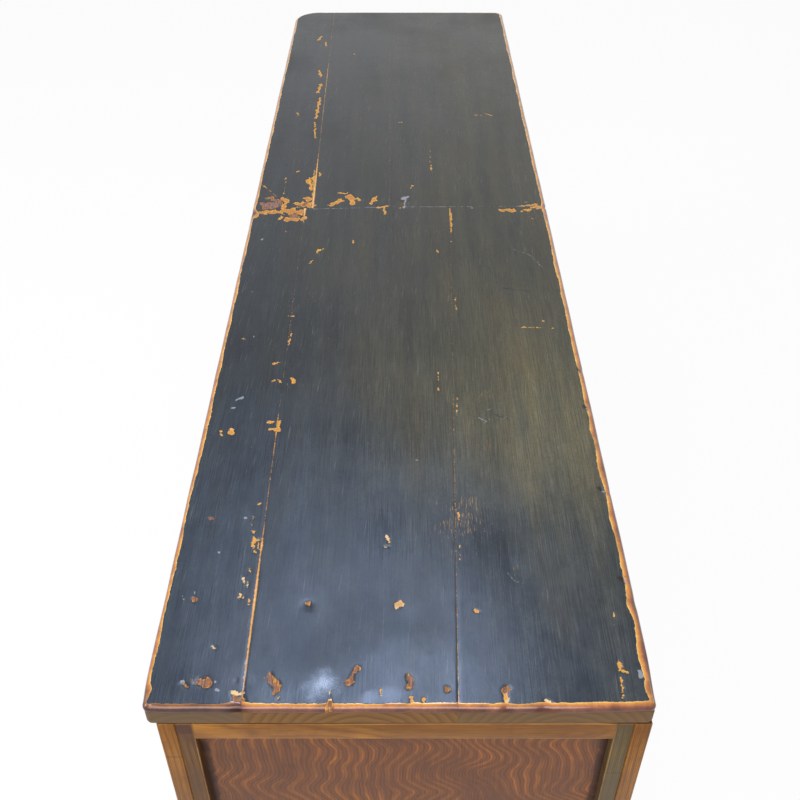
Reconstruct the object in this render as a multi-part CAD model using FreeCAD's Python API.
import FreeCAD, Part
import os

# Long low sideboard of elm: a plank top in two lengths on a framed carcass, with four drawers over two pairs
# of doors that turn on wooden pivots. Millimetres. X runs along the length, the front faces -Y, the floor is Z = 0,
# and "near" is the end at +X.

V = FreeCAD.Vector
ALONG, BACKWARDS, UP = V(1, 0, 0), V(0, 1, 0), V(0, 0, 1)
# Share of a radius that a point at 45 degrees on the arc lies along each axis
DIAGONAL = 0.5 ** 0.5

# Overall
length = 1860.0
depth = 480.0
height = 860.0

# Top
top_thickness = 30.0
lip_height = 10.0
lip_out = 2.0
lip_upper_round = 5.5
lip_under_round = 4.0
band_round = 5.0
# Shares of the wall that a rounding may take at most
upper_round_limit = 0.6
other_round_limit = 0.95
end_overhang = 3.0
front_overhang = 11.0
back_overhang = 2.0
near_front_corner = 8.0
near_back_corner = 8.0
far_front_corner = 55.0
far_back_corner = 20.0

# Seams between planks, measured from the front edge of the top
near_front_seam_at_end = 94.0
near_front_seam_at_joint = 86.0
near_back_seam_at_end = 294.0
near_back_seam_at_joint = 322.0
far_front_seam_at_end = 87.0
far_front_seam_at_joint = 98.0
far_back_seam_at_end = 218.0
far_back_seam_at_joint = 224.0

# Pegs and battens under the top
peg_radius = 4.0
peg_sunk = 0.5
peg_bite = 16.0
peg_from_seam = 20.0
batten_width = 44.0
batten_height = 20.0
batten_spacing = 300.0
centre_batten_width = 90.0
peg_from_joint = 24.0

# Carcass frame
post = 34.0
post_groove_width = 2.0
post_groove_depth = 1.2
top_rail_height = 25.0
drawer_opening_height = 120.0
drawer_rail_height = 30.0
drawer_rail_depth = 44.0
bottom_rail_height = 36.0
leg_height = 120.0
end_rail_thickness = 26.0
centre_stile_width = 34.0
divider_width = 24.0

# Joinery
tenon_width = 14.5
tenon_shoulder = 1.5
stub_tenon_height = 5.5
stub_tenon_length = 14.0
stub_tenon_width = 12.0
blind_tenon = 18.0
upright_tenon = 10.0
upright_tenon_inset = 6.0
runner_tenon = 8.0
wood_between = 1.0

# Panels
groove = 6.0
end_panel_recess = 12.0
end_panel_thickness = 10.0
back_panel_recess = 6.0
back_panel_thickness = 8.0
back_stile_width = 44.0
back_stile_thickness = 24.0

# Cabinet floor and partition
floor_thickness = 12.0
floor_below_rail = 4.0
bearer_width = 70.0
bearer_height = 20.0
partition_thickness = 18.0

# Aprons
apron_height = 36.0
apron_thickness = 18.0
apron_recess = 4.0
spandrel_width = 64.0
spandrel_drop = 44.0
spandrel_thickness = 14.0
spandrel_tip = 5.0
spandrel_curve = 0.3

# Drawers
face_recess = 4.0
drawer_gap = 1.5
drawer_front_thickness = 18.0
drawer_side_thickness = 12.0
drawer_side_height = 98.0
drawer_back_drop = 8.0
drawer_bottom_thickness = 8.0
drawer_bottom_rise = 8.0
drawer_bottom_groove = 4.0
drawer_side_housing = 6.0
drawer_stop_gap = 1.0
runner_height = 22.0
runner_ledge = 28.0
guide_height = 18.0
guide_clearance = 1.0

# Doors
door_thickness = 22.0
door_side_gap = 1.2
door_end_gap = 1.5
door_meeting_gap = 2.0
door_stile_width = 44.0
door_top_rail_height = 44.0
door_bottom_rail_height = 50.0
door_tenon_length = 20.0
door_tenon_thickness = 8.0
door_tenon_shoulder = 6.0
door_panel_recess = 5.0
door_panel_thickness = 8.0
pivot_radius = 5.0
pivot_clearance = 0.08
pivot_top_reach = 10.0
pivot_lift_room = 3.0
pivot_bottom_reach = 8.0
door_stop_length = 160.0
door_stop_height = 10.0
door_stop_depth = 14.0
door_stop_gap = 0.4

# Brass fittings
plate_thickness = 1.2
hinge_pin_clearance = 0.06
bail_rod_radius = 2.2
bail_drop = 26.0
bail_bend = 6.0
boss_spacing = 72.0
boss_radius = 3.8
boss_out = 7.0
bail_side_room = 0.8
drawer_plate_length = 116.0
drawer_plate_height = 24.0
nail_from_plate_end = 6.0
door_plate_radius = 38.0
door_plate_edge_gap = 1.0
pull_from_edge = 18.0
pull_length = 38.0
pull_belly_radius = 5.0
# Where the drop's cone meets its ball: shares of the ball's radius, up and out
pull_cone_rise = 0.6
pull_cone_out = 0.8
pull_neck_radius = 1.8
pull_eye_radius = 3.4
pull_eye_width = 5.0
pull_clear = 2.0
pull_pin_radius = 1.5
ear_width = 2.4
ear_height = 7.0
ear_gap = 0.4
nail_head_radius = 2.6
nail_tip_radius = 1.4
nail_head_height = 1.2
nail_shank_radius = 1.0
nail_bite = 7.0
door_nail_from_rim = 6.0

# Planes that the pieces share
x_end = length / 2 - end_overhang
x_inside = x_end - post
y_edge = -depth / 2
y_front = y_edge + front_overhang
y_back = depth / 2 - back_overhang
y_front_in = y_front + post
y_back_in = y_back - post
z_under = height - top_thickness
z_rail = z_under - top_rail_height
z_drawer = z_rail - drawer_opening_height
z_door_top = z_drawer - drawer_rail_height
z_door_floor = leg_height + bottom_rail_height
z_floor = z_door_floor - floor_below_rail
y_face = y_front + face_recess
y_door_back = y_face + door_thickness
y_pivot = y_face + door_thickness / 2
y_back_panel = y_back - back_panel_recess - back_panel_thickness
mid_tenon = post - end_panel_recess - end_panel_thickness - wood_between
front_tenon_ys = (y_front_in - tenon_shoulder - tenon_width, y_front_in - tenon_shoulder)
back_tenon_ys = (y_back_in + tenon_shoulder, y_back_in + tenon_shoulder + tenon_width)
half_middle = (x_inside + centre_stile_width) / 2
SIDES = {"near": 1, "far": -1}

nodes = {}


def block(xs, ys, zs):
    """A straight board between three pairs of planes, each pair in either order."""
    (x0, x1), (y0, y1), (z0, z1) = sorted(xs), sorted(ys), sorted(zs)
    return Part.makeBox(x1 - x0, y1 - y0, z1 - z0, V(x0, y0, z0))


def joined(first, *others):
    """Shapes grown into one piece of wood or metal."""
    return first.fuse(list(others)).removeSplitter()


def seated(board, *guests):
    """A board with the mortise, groove or hole of each guest that enters it."""
    return board.cut(list(guests))


def rounded_plan(inset, radii, z0, z1):
    """A slab with the top's plan, drawn in by an inset. Radii are near front, far front, far back, near back."""
    x, front, back = length / 2 - inset, y_edge + inset, depth / 2 - inset
    corners = [(x, front), (-x, front), (-x, back), (x, back)]
    turns = [((0, 1), (-1, 0)), ((1, 0), (0, 1)), ((0, -1), (1, 0)), ((-1, 0), (0, -1))]
    edges = []
    last_point = None
    first_point = None
    for (cx, cy), ((ax, ay), (bx, by)), radius in zip(corners, turns, radii):
        start = V(cx + ax * radius, cy + ay * radius, z0)
        end = V(cx + bx * radius, cy + by * radius, z0)
        centre = V(cx + (ax + bx) * radius, cy + (ay + by) * radius, z0)
        middle = centre - (V(ax + bx, ay + by, 0) * (radius * DIAGONAL))
        if last_point is not None:
            edges.append(Part.LineSegment(last_point, start).toShape())
        else:
            first_point = start
        edges.append(Part.Arc(start, middle, end).toShape())
        last_point = end
    edges.append(Part.LineSegment(last_point, first_point).toShape())
    return Part.Face(Part.Wire(edges)).extrude(V(0, 0, z1 - z0))


def rim(slab, z):
    """The outline edges of a slab that lie at one height."""
    return [e for e in slab.Edges if abs(e.BoundBox.ZMin - z) < 1e-6 and abs(e.BoundBox.ZMax - z) < 1e-6]


def upper_tenon(zs):
    """The height that the tenon of a long rail takes, above the stub tenon of the end rail."""
    return zs[0] + 2 * tenon_shoulder + stub_tenon_height, zs[1] - tenon_shoulder


def stub_tenon(zs):
    """The height that the stub tenon of an end rail takes."""
    return zs[0] + tenon_shoulder, zs[0] + tenon_shoulder + stub_tenon_height


def floating_panel(xs, ys, zs, thin, bite):
    """A panel that enters the grooves round its opening, with its corners left clear. Thin names its thin axis."""
    def grown(pair, axis, grow):
        return pair if axis == thin or axis != grow else (min(pair) - bite, max(pair) + bite)
    tall = block(grown(xs, "x", "z"), grown(ys, "y", "z"), grown(zs, "z", "z"))
    across = "x" if thin == "y" else "y"
    wide = block(grown(xs, "x", across), grown(ys, "y", across), grown(zs, "z", across))
    return joined(tall, wide)


def nail(x, y, z):
    """A domed nail driven backwards through a plate whose front face is at y."""
    head = Part.makeCone(nail_head_radius, nail_tip_radius, nail_head_height, V(x, y, z), V(0, -1, 0))
    shank = Part.makeCylinder(nail_shank_radius, plate_thickness + nail_bite, V(x, y, z), BACKWARDS)
    return joined(head, shank)


# Pegs, planks and battens of the top

seams = {
    "near": ((near_front_seam_at_end, near_front_seam_at_joint), (near_back_seam_at_end, near_back_seam_at_joint)),
    "far": ((far_front_seam_at_end, far_front_seam_at_joint), (far_back_seam_at_end, far_back_seam_at_joint)),
}
batten_centres = [batten_spacing, 2 * batten_spacing]


def seam_y(end_name, which, distance):
    """Where a seam lies at a distance from the mid joint."""
    at_end, at_joint = seams[end_name][which]
    return y_edge + at_joint + (at_end - at_joint) * distance / (length / 2)


def top_blank():
    """The whole top before it is divided: a band with a rounded lip above it."""
    radii = (near_front_corner, far_front_corner, far_back_corner, near_back_corner)
    z_lip = height - lip_height
    smallest = min(radii) - lip_out
    upper = min(lip_upper_round, lip_height * upper_round_limit, smallest)
    under = min(lip_under_round, (lip_height - upper) * other_round_limit)
    lip = rounded_plan(0, radii, z_lip, height)
    lip = lip.makeFillet(upper, rim(lip, height))
    lip = lip.makeFillet(under, rim(lip, z_lip))
    band = rounded_plan(lip_out, [r - lip_out for r in radii], z_under, z_lip + lip_height / 2)
    band = band.makeFillet(min(band_round, smallest * other_round_limit), rim(band, z_under))
    return joined(band, lip)


def plank_prism(end_name, index):
    """The plan of one plank, from the mid joint past the end, between its two seams."""
    side, reach = SIDES[end_name], length / 2
    def edge(which, distance):
        if which < 0:
            return y_edge - front_overhang
        if which > 1:
            return depth / 2 + front_overhang
        return seam_y(end_name, which, distance)
    corners = [(0, index - 1), (reach, index - 1), (reach, index), (0, index)]
    points = [V(side * d, edge(which, d), z_under) for d, which in corners]
    return Part.Face(Part.makePolygon(points + points[:1])).extrude(V(0, 0, top_thickness))


def peg_places():
    """One peg for each plank over each batten and end rail."""
    rows = [peg_from_joint] + batten_centres + [x_end - end_rail_thickness / 2]
    places = []
    for end_name, side in SIDES.items():
        for row in rows:
            front, back = seam_y(end_name, 0, row), seam_y(end_name, 1, row)
            for y in (front - peg_from_seam, (front + back) / 2, back + peg_from_seam):
                places.append((side * row, y))
    return places


pegs = [
    Part.makeCylinder(peg_radius, top_thickness - peg_sunk + peg_bite, V(x, y, z_under - peg_bite), UP)
    for x, y in peg_places()
]
nodes["top_pegs"] = pegs

top_shape = top_blank()
for end_name in SIDES:
    for index, place in enumerate(("front", "middle", "back")):
        plank = top_shape.common(plank_prism(end_name, index))
        nodes[f"top_plank_{end_name}_{place}"] = [seated(plank, *pegs)]


def batten(centre, width):
    """A cross batten tenoned between the front and back top rails."""
    xs = (centre - width / 2, centre + width / 2)
    tenon_xs = (xs[0] + upright_tenon_inset, xs[1] - upright_tenon_inset)
    low = z_under - batten_height
    body = block(xs, (y_front_in, y_back_in), (low, z_under))
    tongue = block(
        tenon_xs,
        (y_front_in - upright_tenon, y_back_in + upright_tenon),
        (low + tenon_shoulder, z_under - tenon_shoulder),
    )
    return joined(body, tongue)


battens = [batten(0, centre_batten_width)]
battens += [batten(side * x, batten_width) for side in SIDES.values() for x in batten_centres]

# Long rails of the front and back, and the rails of the two ends


def long_rail(ys, zs, tenon_ys, tenon):
    """A rail from post to post with a tenon on each end."""
    body = block((-x_inside, x_inside), ys, zs)
    tongue = block((-x_inside - tenon, x_inside + tenon), tenon_ys, upper_tenon(zs))
    return joined(body, tongue)


top_zs, mid_zs, bottom_zs = (z_rail, z_under), (z_door_top, z_drawer), (leg_height, z_door_floor)
front_ys, back_ys = (y_front, y_front_in), (y_back_in, y_back)
front_top_rail = long_rail(front_ys, top_zs, front_tenon_ys, post)
front_bottom_rail = long_rail(front_ys, bottom_zs, front_tenon_ys, post)
back_rails = {
    "top": long_rail(back_ys, top_zs, back_tenon_ys, blind_tenon),
    "middle": long_rail(back_ys, mid_zs, back_tenon_ys, mid_tenon),
    "bottom": long_rail(back_ys, bottom_zs, back_tenon_ys, blind_tenon),
}


def end_rail(side, zs):
    """A rail across one end, flush with the posts' end faces, with a stub tenon on each end."""
    xs = (side * (x_end - end_rail_thickness), side * x_end)
    middle = (xs[0] + xs[1]) / 2
    tenon_xs = (middle - stub_tenon_width / 2, middle + stub_tenon_width / 2)
    tenon_ys = (y_front_in - stub_tenon_length, y_back_in + stub_tenon_length)
    return joined(block(xs, (y_front_in, y_back_in), zs), block(tenon_xs, tenon_ys, stub_tenon(zs)))


end_rails = {(end, level): end_rail(side, zs)
             for end, side in SIDES.items()
             for level, zs in (("top", top_zs), ("bottom", bottom_zs))}
end_panel_xs = (x_end - end_panel_recess - end_panel_thickness, x_end - end_panel_recess)
end_panels = {
    end: floating_panel([side * x for x in end_panel_xs], (y_front_in, y_back_in), (z_door_floor, z_rail), "x", groove)
    for end, side in SIDES.items()
}

# Uprights and drawer rails of the front


def upright(xs, z0, z1):
    """An upright between two rails, with a tenon into each."""
    tenon_xs = (min(xs) + upright_tenon_inset, max(xs) - upright_tenon_inset)
    tenon_ys = (y_front + upright_tenon, y_front_in - upright_tenon)
    body = block(xs, front_ys, (z0, z1))
    return joined(body, block(tenon_xs, tenon_ys, (z0 - upright_tenon, z1 + upright_tenon)))


centre_stiles = [upright((0, side * centre_stile_width), z_door_floor, z_rail) for side in SIDES.values()]
divider_half = divider_width / 2
dividers = [
    upright((side * half_middle - divider_half, side * half_middle + divider_half), z_drawer, z_rail)
    for side in SIDES.values()
]


def drawer_rail(side):
    """The rail between drawers and doors of one half, tenoned into the corner post and the centre stile."""
    xs = (side * centre_stile_width, side * x_inside)
    tenon_xs = (side * (centre_stile_width - mid_tenon), side * (x_inside + mid_tenon))
    body = block(xs, (y_front, y_front + drawer_rail_depth), mid_zs)
    return joined(body, block(tenon_xs, front_tenon_ys, upper_tenon(mid_zs)))


drawer_rails = [drawer_rail(side) for side in SIDES.values()]

# Back stiles and panels


def back_stile(z0, z1):
    """An upright of the back between two rails."""
    half = back_stile_width / 2
    tenon_half = half - upright_tenon_inset
    ys = (y_back - back_stile_thickness, y_back)
    tenon_ys = (ys[0] + upright_tenon_inset, ys[1] - upright_tenon_inset)
    body = block((-half, half), ys, (z0, z1))
    return joined(body, block((-tenon_half, tenon_half), tenon_ys, (z0 - upright_tenon, z1 + upright_tenon)))


back_levels = ((z_door_floor, z_door_top), (z_drawer, z_rail))
back_stiles = [back_stile(z0, z1) for z0, z1 in back_levels]
back_panels = [
    floating_panel(
        (side * back_stile_width / 2, side * x_inside),
        (y_back_panel, y_back_panel + back_panel_thickness),
        zs, "y", groove,
    )
    for side in SIDES.values() for zs in back_levels
]

# Cabinet floor, its bearer and the centre partition

floor_end_bite = end_rail_thickness - end_panel_recess - end_panel_thickness - wood_between
floor_reach = x_end - end_rail_thickness + floor_end_bite
floor_zs = (z_floor - floor_thickness, z_floor)
floor_boards = [
    block((0, side * floor_reach), (y_front_in - groove, y_back_in + groove), floor_zs) for side in SIDES.values()
]
bearer_zs = (floor_zs[0] - bearer_height, floor_zs[0])
floor_bearer = joined(
    block((-bearer_width / 2, bearer_width / 2), (y_front_in, y_back_in), bearer_zs),
    block(
        (upright_tenon_inset - bearer_width / 2, bearer_width / 2 - upright_tenon_inset),
        (y_front_in - upright_tenon, y_back_in + upright_tenon),
        (bearer_zs[0] + tenon_shoulder, bearer_zs[1] - tenon_shoulder),
    ),
)
z_runner = z_drawer + drawer_gap
partition = block(
    (-partition_thickness / 2, partition_thickness / 2),
    (y_front_in, y_back - back_stile_thickness),
    (z_floor, z_runner - runner_height),
)

# Drawer runners: strips under the drawer sides, with a guide rib between neighbouring drawers


def runner(xs, guide_xs):
    """A runner from the drawer rail to the back middle rail, with a guide rib where one is given."""
    y0, y1 = y_front + drawer_rail_depth, y_back_in
    z0 = z_runner - runner_height
    x0, x1 = sorted(xs)
    body = block(xs, (y0, y1), (z0, z_runner))
    tongue = block(
        (x0 + upright_tenon_inset, x1 - upright_tenon_inset),
        (y0 - runner_tenon, y1 + runner_tenon),
        (z0 + upright_tenon_inset, z_drawer - upright_tenon_inset),
    )
    if guide_xs is None:
        return joined(body, tongue)
    return joined(body, tongue, block(guide_xs, (y0, y1), (z_runner, z_runner + guide_height)))


def guided_runner(centre, upright_width):
    """A runner that serves the drawers on both sides of an upright."""
    guide = upright_width / 2 + drawer_gap - guide_clearance
    ledge = guide + runner_ledge
    return runner((centre - ledge, centre + ledge), (centre - guide, centre + guide))


runners = [guided_runner(0, 2 * centre_stile_width)]
runners += [guided_runner(side * half_middle, divider_width) for side in SIDES.values()]
runners += [runner((side * (x_inside - runner_ledge), side * x_inside), None) for side in SIDES.values()]

# Drawers, numbered from the far end


def drawer_openings():
    """The pair of planes that each drawer's opening lies between."""
    inner = (centre_stile_width, half_middle - divider_half)
    outer = (half_middle + divider_half, x_inside)
    return [tuple(sorted((side * a, side * b))) for side, (a, b) in ((-1, outer), (-1, inner), (1, inner), (1, outer))]


y_drawer_back = y_back_panel - drawer_stop_gap
z_side_top = z_runner + drawer_side_height
z_bottom_board = z_runner + drawer_bottom_rise
z_drawer_middle = (z_drawer + z_rail) / 2
y_plate = y_face - plate_thickness
y_bail = y_plate - boss_out


def drawer_wood(xs):
    """The front and the four boards of the box of one drawer."""
    x0, x1 = xs[0] + drawer_gap, xs[1] - drawer_gap
    y_box = y_face + drawer_front_thickness
    inner = (x0 + drawer_side_thickness, x1 - drawer_side_thickness)
    bite = drawer_bottom_groove
    bottom = block(
        (inner[0] - bite, inner[1] + bite),
        (y_box - bite, y_drawer_back),
        (z_bottom_board, z_bottom_board + drawer_bottom_thickness),
    )
    side_ys = (y_box - drawer_side_housing, y_drawer_back)
    sides = [
        seated(block(side_xs, side_ys, (z_runner, z_side_top)), bottom)
        for side_xs in ((x0, inner[0]), (inner[1], x1))
    ]
    back = block(
        inner,
        (y_drawer_back - drawer_side_thickness, y_drawer_back),
        (z_bottom_board + drawer_bottom_thickness, z_side_top - drawer_back_drop),
    )
    front = block((x0, x1), (y_face, y_box), (z_drawer + drawer_gap, z_rail - drawer_gap))
    return seated(front, bottom, *sides), sides + [back, bottom]


def bail(middle):
    """A bent brass rod whose turned-in ends enter the bosses."""
    boss = boss_spacing / 2
    arm = boss + boss_radius + bail_side_room + bail_bend
    tip = boss - boss_radius - bail_side_room
    slack = bail_bend * (1 - DIAGONAL)

    def at(x, z):
        return V(middle + x, y_bail, z_drawer_middle + z)

    def bent_half(side):
        return [
            Part.LineSegment(at(side * tip, 0), at(side * (arm - bail_bend), 0)),
            Part.Arc(at(side * (arm - bail_bend), 0), at(side * (arm - slack), -slack), at(side * arm, -bail_bend)),
            Part.LineSegment(at(side * arm, -bail_bend), at(side * arm, bail_bend - bail_drop)),
            Part.Arc(
                at(side * arm, bail_bend - bail_drop),
                at(side * (arm - slack), slack - bail_drop),
                at(side * (arm - bail_bend), -bail_drop),
            ),
        ]

    left, right = bent_half(-1), bent_half(1)
    grip = Part.LineSegment(at(bail_bend - arm, -bail_drop), at(arm - bail_bend, -bail_drop))
    path = Part.Wire([c.toShape() for c in left + [grip] + right[::-1]])
    section = Part.Wire([Part.makeCircle(bail_rod_radius, at(-tip, 0), ALONG)])
    return path.makePipeShell([section], True, True)


def drawer_plate(middle):
    """An oblong plate with two bored bosses for the bail, and its two nails."""
    half_straight = (drawer_plate_length - drawer_plate_height) / 2
    end_radius = drawer_plate_height / 2
    pieces = [
        Part.makeCylinder(end_radius, plate_thickness, V(middle + x, y_plate, z_drawer_middle), BACKWARDS)
        for x in (-half_straight, half_straight)
    ]
    pieces.append(
        block(
            (middle - half_straight, middle + half_straight),
            (y_plate, y_face),
            (z_drawer_middle - end_radius, z_drawer_middle + end_radius),
        )
    )
    for x in (middle - boss_spacing / 2, middle + boss_spacing / 2):
        pieces.append(Part.makeCylinder(boss_radius, boss_out, V(x, y_bail, z_drawer_middle), BACKWARDS))
        pieces.append(Part.makeSphere(boss_radius, V(x, y_bail, z_drawer_middle)))
    bore = Part.makeCylinder(
        bail_rod_radius + hinge_pin_clearance,
        drawer_plate_length,
        V(middle - drawer_plate_length / 2, y_bail, z_drawer_middle),
        ALONG,
    )
    nail_x = drawer_plate_length / 2 - nail_from_plate_end
    nails = [nail(middle + x, y_plate, z_drawer_middle) for x in (-nail_x, nail_x)]
    return seated(joined(*pieces), bore, *nails), nails


for number, opening in enumerate(drawer_openings(), 1):
    middle_x = sum(opening) / 2
    front, box = drawer_wood(opening)
    plate, nails = drawer_plate(middle_x)
    nodes[f"drawer_{number}_front"] = [seated(front, *nails)]
    nodes[f"drawer_{number}_box"] = box
    nodes[f"drawer_{number}_plate"] = [plate] + nails
    nodes[f"drawer_{number}_bail"] = [bail(middle_x)]

# Doors, numbered from the far end. Each turns on wooden pins at the ends of its hinge stile

z_door_low, z_door_high = z_door_floor + door_end_gap, z_door_top - door_end_gap
z_pull = (z_door_low + z_door_high) / 2
y_pull = y_plate - pull_belly_radius - pull_clear


def door_layout():
    """For each door: its hinge edge, its meeting edge, and the way from hinge to meeting edge along X."""
    half_gap = door_meeting_gap / 2
    spots = []
    for side in (-1, 1):
        middle = side * half_middle
        low = -x_inside if side < 0 else centre_stile_width
        high = -centre_stile_width if side < 0 else x_inside
        spots.append((low + door_side_gap, middle - half_gap, 1))
        spots.append((high - door_side_gap, middle + half_gap, -1))
    return spots


def pivot_x(hinge_edge, way):
    """The pivot stands half a door's thickness in from the hinge edge."""
    return hinge_edge + way * door_thickness / 2


def pivot_socket(x):
    """The two holes that a door's pins stand in: the upper one is deeper, so that the door can be lifted out."""
    radius = pivot_radius + pivot_clearance
    low = z_door_floor - pivot_bottom_reach
    upper_depth = pivot_top_reach + pivot_lift_room
    return (
        Part.makeCylinder(radius, pivot_bottom_reach, V(x, y_pivot, low), UP),
        Part.makeCylinder(radius, upper_depth, V(x, y_pivot, z_door_top), UP),
    )


def door_wood(hinge_edge, meeting_edge, way):
    """The two stiles, two rails and floating panel of one door."""
    ys, zs = (y_face, y_door_back), (z_door_low, z_door_high)
    axis = pivot_x(hinge_edge, way)
    hinge_in = hinge_edge + way * door_stile_width
    meeting_in = meeting_edge - way * door_stile_width
    pin_zs = (z_door_floor - pivot_bottom_reach, z_door_top + pivot_top_reach)
    hinge_stile = joined(
        block((axis, hinge_in), ys, zs),
        Part.makeCylinder(door_thickness / 2, z_door_high - z_door_low, V(axis, y_pivot, z_door_low), UP),
        Part.makeCylinder(pivot_radius, pin_zs[1] - pin_zs[0], V(axis, y_pivot, pin_zs[0]), UP),
    )
    meeting_stile = block((meeting_in, meeting_edge), ys, zs)
    tenon_ys = (y_pivot - door_tenon_thickness / 2, y_pivot + door_tenon_thickness / 2)
    tenon_xs = (hinge_in - way * door_tenon_length, meeting_in + way * door_tenon_length)
    z_panel_low, z_panel_high = z_door_low + door_bottom_rail_height, z_door_high - door_top_rail_height
    rails = [
        joined(
            block((hinge_in, meeting_in), ys, (z0, z1)),
            block(tenon_xs, tenon_ys, (z0 + door_tenon_shoulder, z1 - door_tenon_shoulder)),
        )
        for z0, z1 in ((z_door_low, z_panel_low), (z_panel_high, z_door_high))
    ]
    y_panel = y_face + door_panel_recess
    panel = floating_panel(
        (hinge_in, meeting_in), (y_panel, y_panel + door_panel_thickness), (z_panel_low, z_panel_high), "y", groove
    )
    stiles = [seated(stile, panel, *rails) for stile in (hinge_stile, meeting_stile)]
    return stiles + [seated(rail, panel) for rail in rails], panel


def pull_x(meeting_edge, way):
    """The pull hangs a fixed way in from the meeting edge."""
    return meeting_edge - way * pull_from_edge


def door_plate(meeting_edge, way):
    """A half-round plate with two ears and a pin for the drop pull, and its three nails."""
    disc = Part.makeCylinder(door_plate_radius, plate_thickness, V(meeting_edge, y_plate, z_pull), BACKWARDS)
    flat_edge = meeting_edge - way * door_plate_edge_gap
    pieces = [disc.common(block(
        (flat_edge, meeting_edge - way * door_plate_radius),
        (y_plate, y_face),
        (z_pull - door_plate_radius, z_pull + door_plate_radius),
    ))]
    middle = pull_x(meeting_edge, way)
    inner = pull_eye_width / 2 + ear_gap
    outer = inner + ear_width
    for side in (-1, 1):
        pieces.append(block(
            (middle + side * inner, middle + side * outer),
            (y_pull, y_plate),
            (z_pull - ear_height / 2, z_pull + ear_height / 2),
        ))
        start = V(middle + min(side * inner, side * outer), y_pull, z_pull)
        pieces.append(Part.makeCylinder(ear_height / 2, ear_width, start, ALONG))
    pieces.append(Part.makeCylinder(pull_pin_radius, 2 * outer, V(middle - outer, y_pull, z_pull), ALONG))
    ring = door_plate_radius - door_nail_from_rim
    slant = ring * DIAGONAL
    spots = [(ring, 0), (slant, slant), (slant, -slant)]
    nails = [nail(meeting_edge - way * x, y_plate, z_pull + z) for x, z in spots]
    return seated(joined(*pieces), *nails), nails


def drop_pull(middle):
    """A turned drop with an eye that hangs on the pin between the ears."""
    z_belly = z_pull - pull_length
    cone_rise, cone_radius = pull_cone_rise * pull_belly_radius, pull_cone_out * pull_belly_radius
    eye_start = V(middle - pull_eye_width / 2, y_pull, z_pull)
    z_neck = (z_pull + z_belly) / 2
    body = joined(
        Part.makeSphere(pull_belly_radius, V(middle, y_pull, z_belly)),
        Part.makeCone(
            cone_radius, pull_neck_radius, z_neck - z_belly - cone_rise, V(middle, y_pull, z_belly + cone_rise), UP
        ),
        Part.makeCylinder(pull_neck_radius, z_pull - z_neck, V(middle, y_pull, z_neck), UP),
        Part.makeCylinder(pull_eye_radius, pull_eye_width, eye_start, ALONG),
    )
    bore = Part.makeCylinder(pull_pin_radius + hinge_pin_clearance, pull_eye_width, eye_start, ALONG)
    return seated(body, bore)


sockets = []
for number, (hinge_edge, meeting_edge, way) in enumerate(door_layout(), 1):
    frame, panel = door_wood(hinge_edge, meeting_edge, way)
    plate, nails = door_plate(meeting_edge, way)
    sockets.extend(pivot_socket(pivot_x(hinge_edge, way)))
    nodes[f"door_{number}_frame"] = [seated(board, *nails) for board in frame]
    nodes[f"door_{number}_panel"] = [panel]
    nodes[f"door_{number}_plate"] = [plate] + nails
    nodes[f"door_{number}_pull"] = [drop_pull(pull_x(meeting_edge, way))]

door_stops = [
    block(
        (side * half_middle - door_stop_length / 2, side * half_middle + door_stop_length / 2),
        (y_door_back + door_stop_gap, y_door_back + door_stop_gap + door_stop_depth),
        (z_door_top - door_stop_height, z_door_top),
    )
    for side in SIDES.values()
]

# Corner posts, with a line down the middle of each end face


def post_blank(side, ys):
    """A corner post before its mortises are cut."""
    body = block((side * x_inside, side * x_end), ys, (0, z_under))
    middle = sum(ys) / 2
    half = post_groove_width / 2
    corners = [(x_end, middle - half), (x_end - post_groove_depth, middle), (x_end, middle + half)]
    points = [V(side * x, y, 0) for x, y in corners]
    line = Part.Face(Part.makePolygon(points + points[:1])).extrude(V(0, 0, z_under))
    return body.cut(line)


front_guests = [front_top_rail, front_bottom_rail] + drawer_rails
back_guests = list(back_rails.values()) + back_panels
for end, side in SIDES.items():
    shared = [end_panels[end], end_rails[end, "top"], end_rails[end, "bottom"]] + floor_boards
    nodes[f"post_{end}_front"] = [seated(post_blank(side, front_ys), *front_guests, *shared)]
    nodes[f"post_{end}_back"] = [seated(post_blank(side, back_ys), *back_guests, *shared)]

# Aprons under the bottom rails, with a spandrel in each corner


def spandrel(corner, across, thickness_way):
    """A bracket under an apron: its corner, the way it runs along the apron, and the way of its thickness."""
    tip = spandrel_tip
    middle = corner + across * (spandrel_curve * spandrel_width) - UP * (spandrel_curve * spandrel_drop)
    a, b = corner + across * spandrel_width, corner - UP * spandrel_drop
    a_low, b_out = a - UP * tip, b + across * tip
    edges = [Part.makeLine(corner, a), Part.makeLine(a, a_low), Part.Arc(a_low, middle, b_out).toShape()]
    edges += [Part.makeLine(b_out, b), Part.makeLine(b, corner)]
    return Part.Face(Part.Wire(edges)).extrude(thickness_way * spandrel_thickness)


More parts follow.
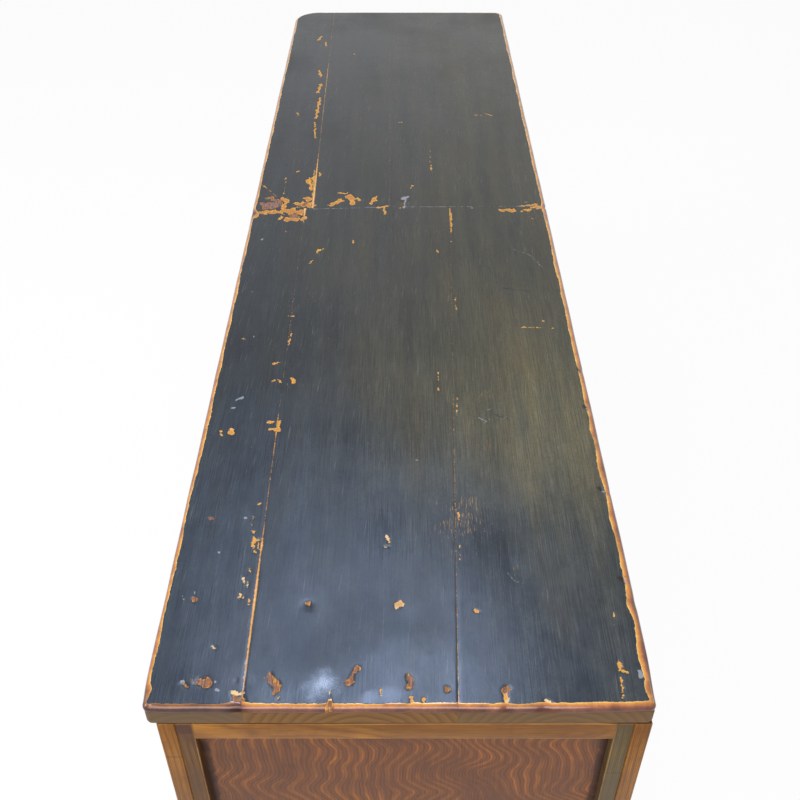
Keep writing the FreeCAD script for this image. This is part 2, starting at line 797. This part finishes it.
apron_zs = (leg_height - apron_height, leg_height)
front_apron_ys = (y_front + apron_recess, y_front + apron_recess + apron_thickness)
aprons = [block((-x_inside, x_inside), front_apron_ys, apron_zs)]
spandrel_in = apron_recess + (apron_thickness - spandrel_thickness) / 2
for side in SIDES.values():
    end_xs = (side * (x_end - apron_recess), side * (x_end - apron_recess - apron_thickness))
    aprons.append(block(end_xs, (y_front_in, y_back_in), apron_zs))
    aprons.append(spandrel(V(side * x_inside, y_front + spandrel_in, apron_zs[0]), ALONG * -side, BACKWARDS))
    x_spandrel = side * (x_end - spandrel_in)
    aprons.append(spandrel(V(x_spandrel, y_front_in, apron_zs[0]), BACKWARDS, ALONG * -side))
    aprons.append(spandrel(V(x_spandrel, y_back_in, apron_zs[0]), BACKWARDS * -1, ALONG * -side))

# The boards that take the tenons, panels and pins of the others

nodes["front_top_rail"] = [seated(front_top_rail, *centre_stiles, *dividers, *battens)]
nodes["front_bottom_rail"] = [seated(front_bottom_rail, *centre_stiles, *floor_boards, floor_bearer, *sockets)]
nodes["drawer_rails"] = [seated(rail, *dividers, *runners, *sockets) for rail in drawer_rails]
nodes["front_uprights"] = [seated(stile, *drawer_rails) for stile in centre_stiles] + dividers
back_rail_guests = battens + back_stiles + back_panels + runners + floor_boards + [floor_bearer]
nodes["back_frame"] = [seated(rail, *back_rail_guests) for rail in back_rails.values()]
nodes["back_frame"] += [seated(stile, *back_panels) for stile in back_stiles]
nodes["back_panels"] = back_panels
nodes["end_rails"] = [
    seated(rail, end_panels[end], *floor_boards, *pegs) for (end, level), rail in end_rails.items()
]
for end, panel in end_panels.items():
    nodes[f"end_panel_{end}"] = [panel]
nodes["floor_boards"] = floor_boards
nodes["floor_bearer"] = [floor_bearer]
nodes["centre_partition"] = [seated(partition, *back_rails.values())]
nodes["drawer_runners"] = runners
nodes["door_stops"] = door_stops
nodes["top_battens"] = [seated(board, *pegs) for board in battens]
nodes["aprons"] = aprons

os.makedirs("parts", exist_ok=True)
for name, pieces in nodes.items():
    solids = [solid for piece in pieces for solid in piece.Solids]
    Part.makeCompound(solids).exportStep(f"parts/{name}.step")
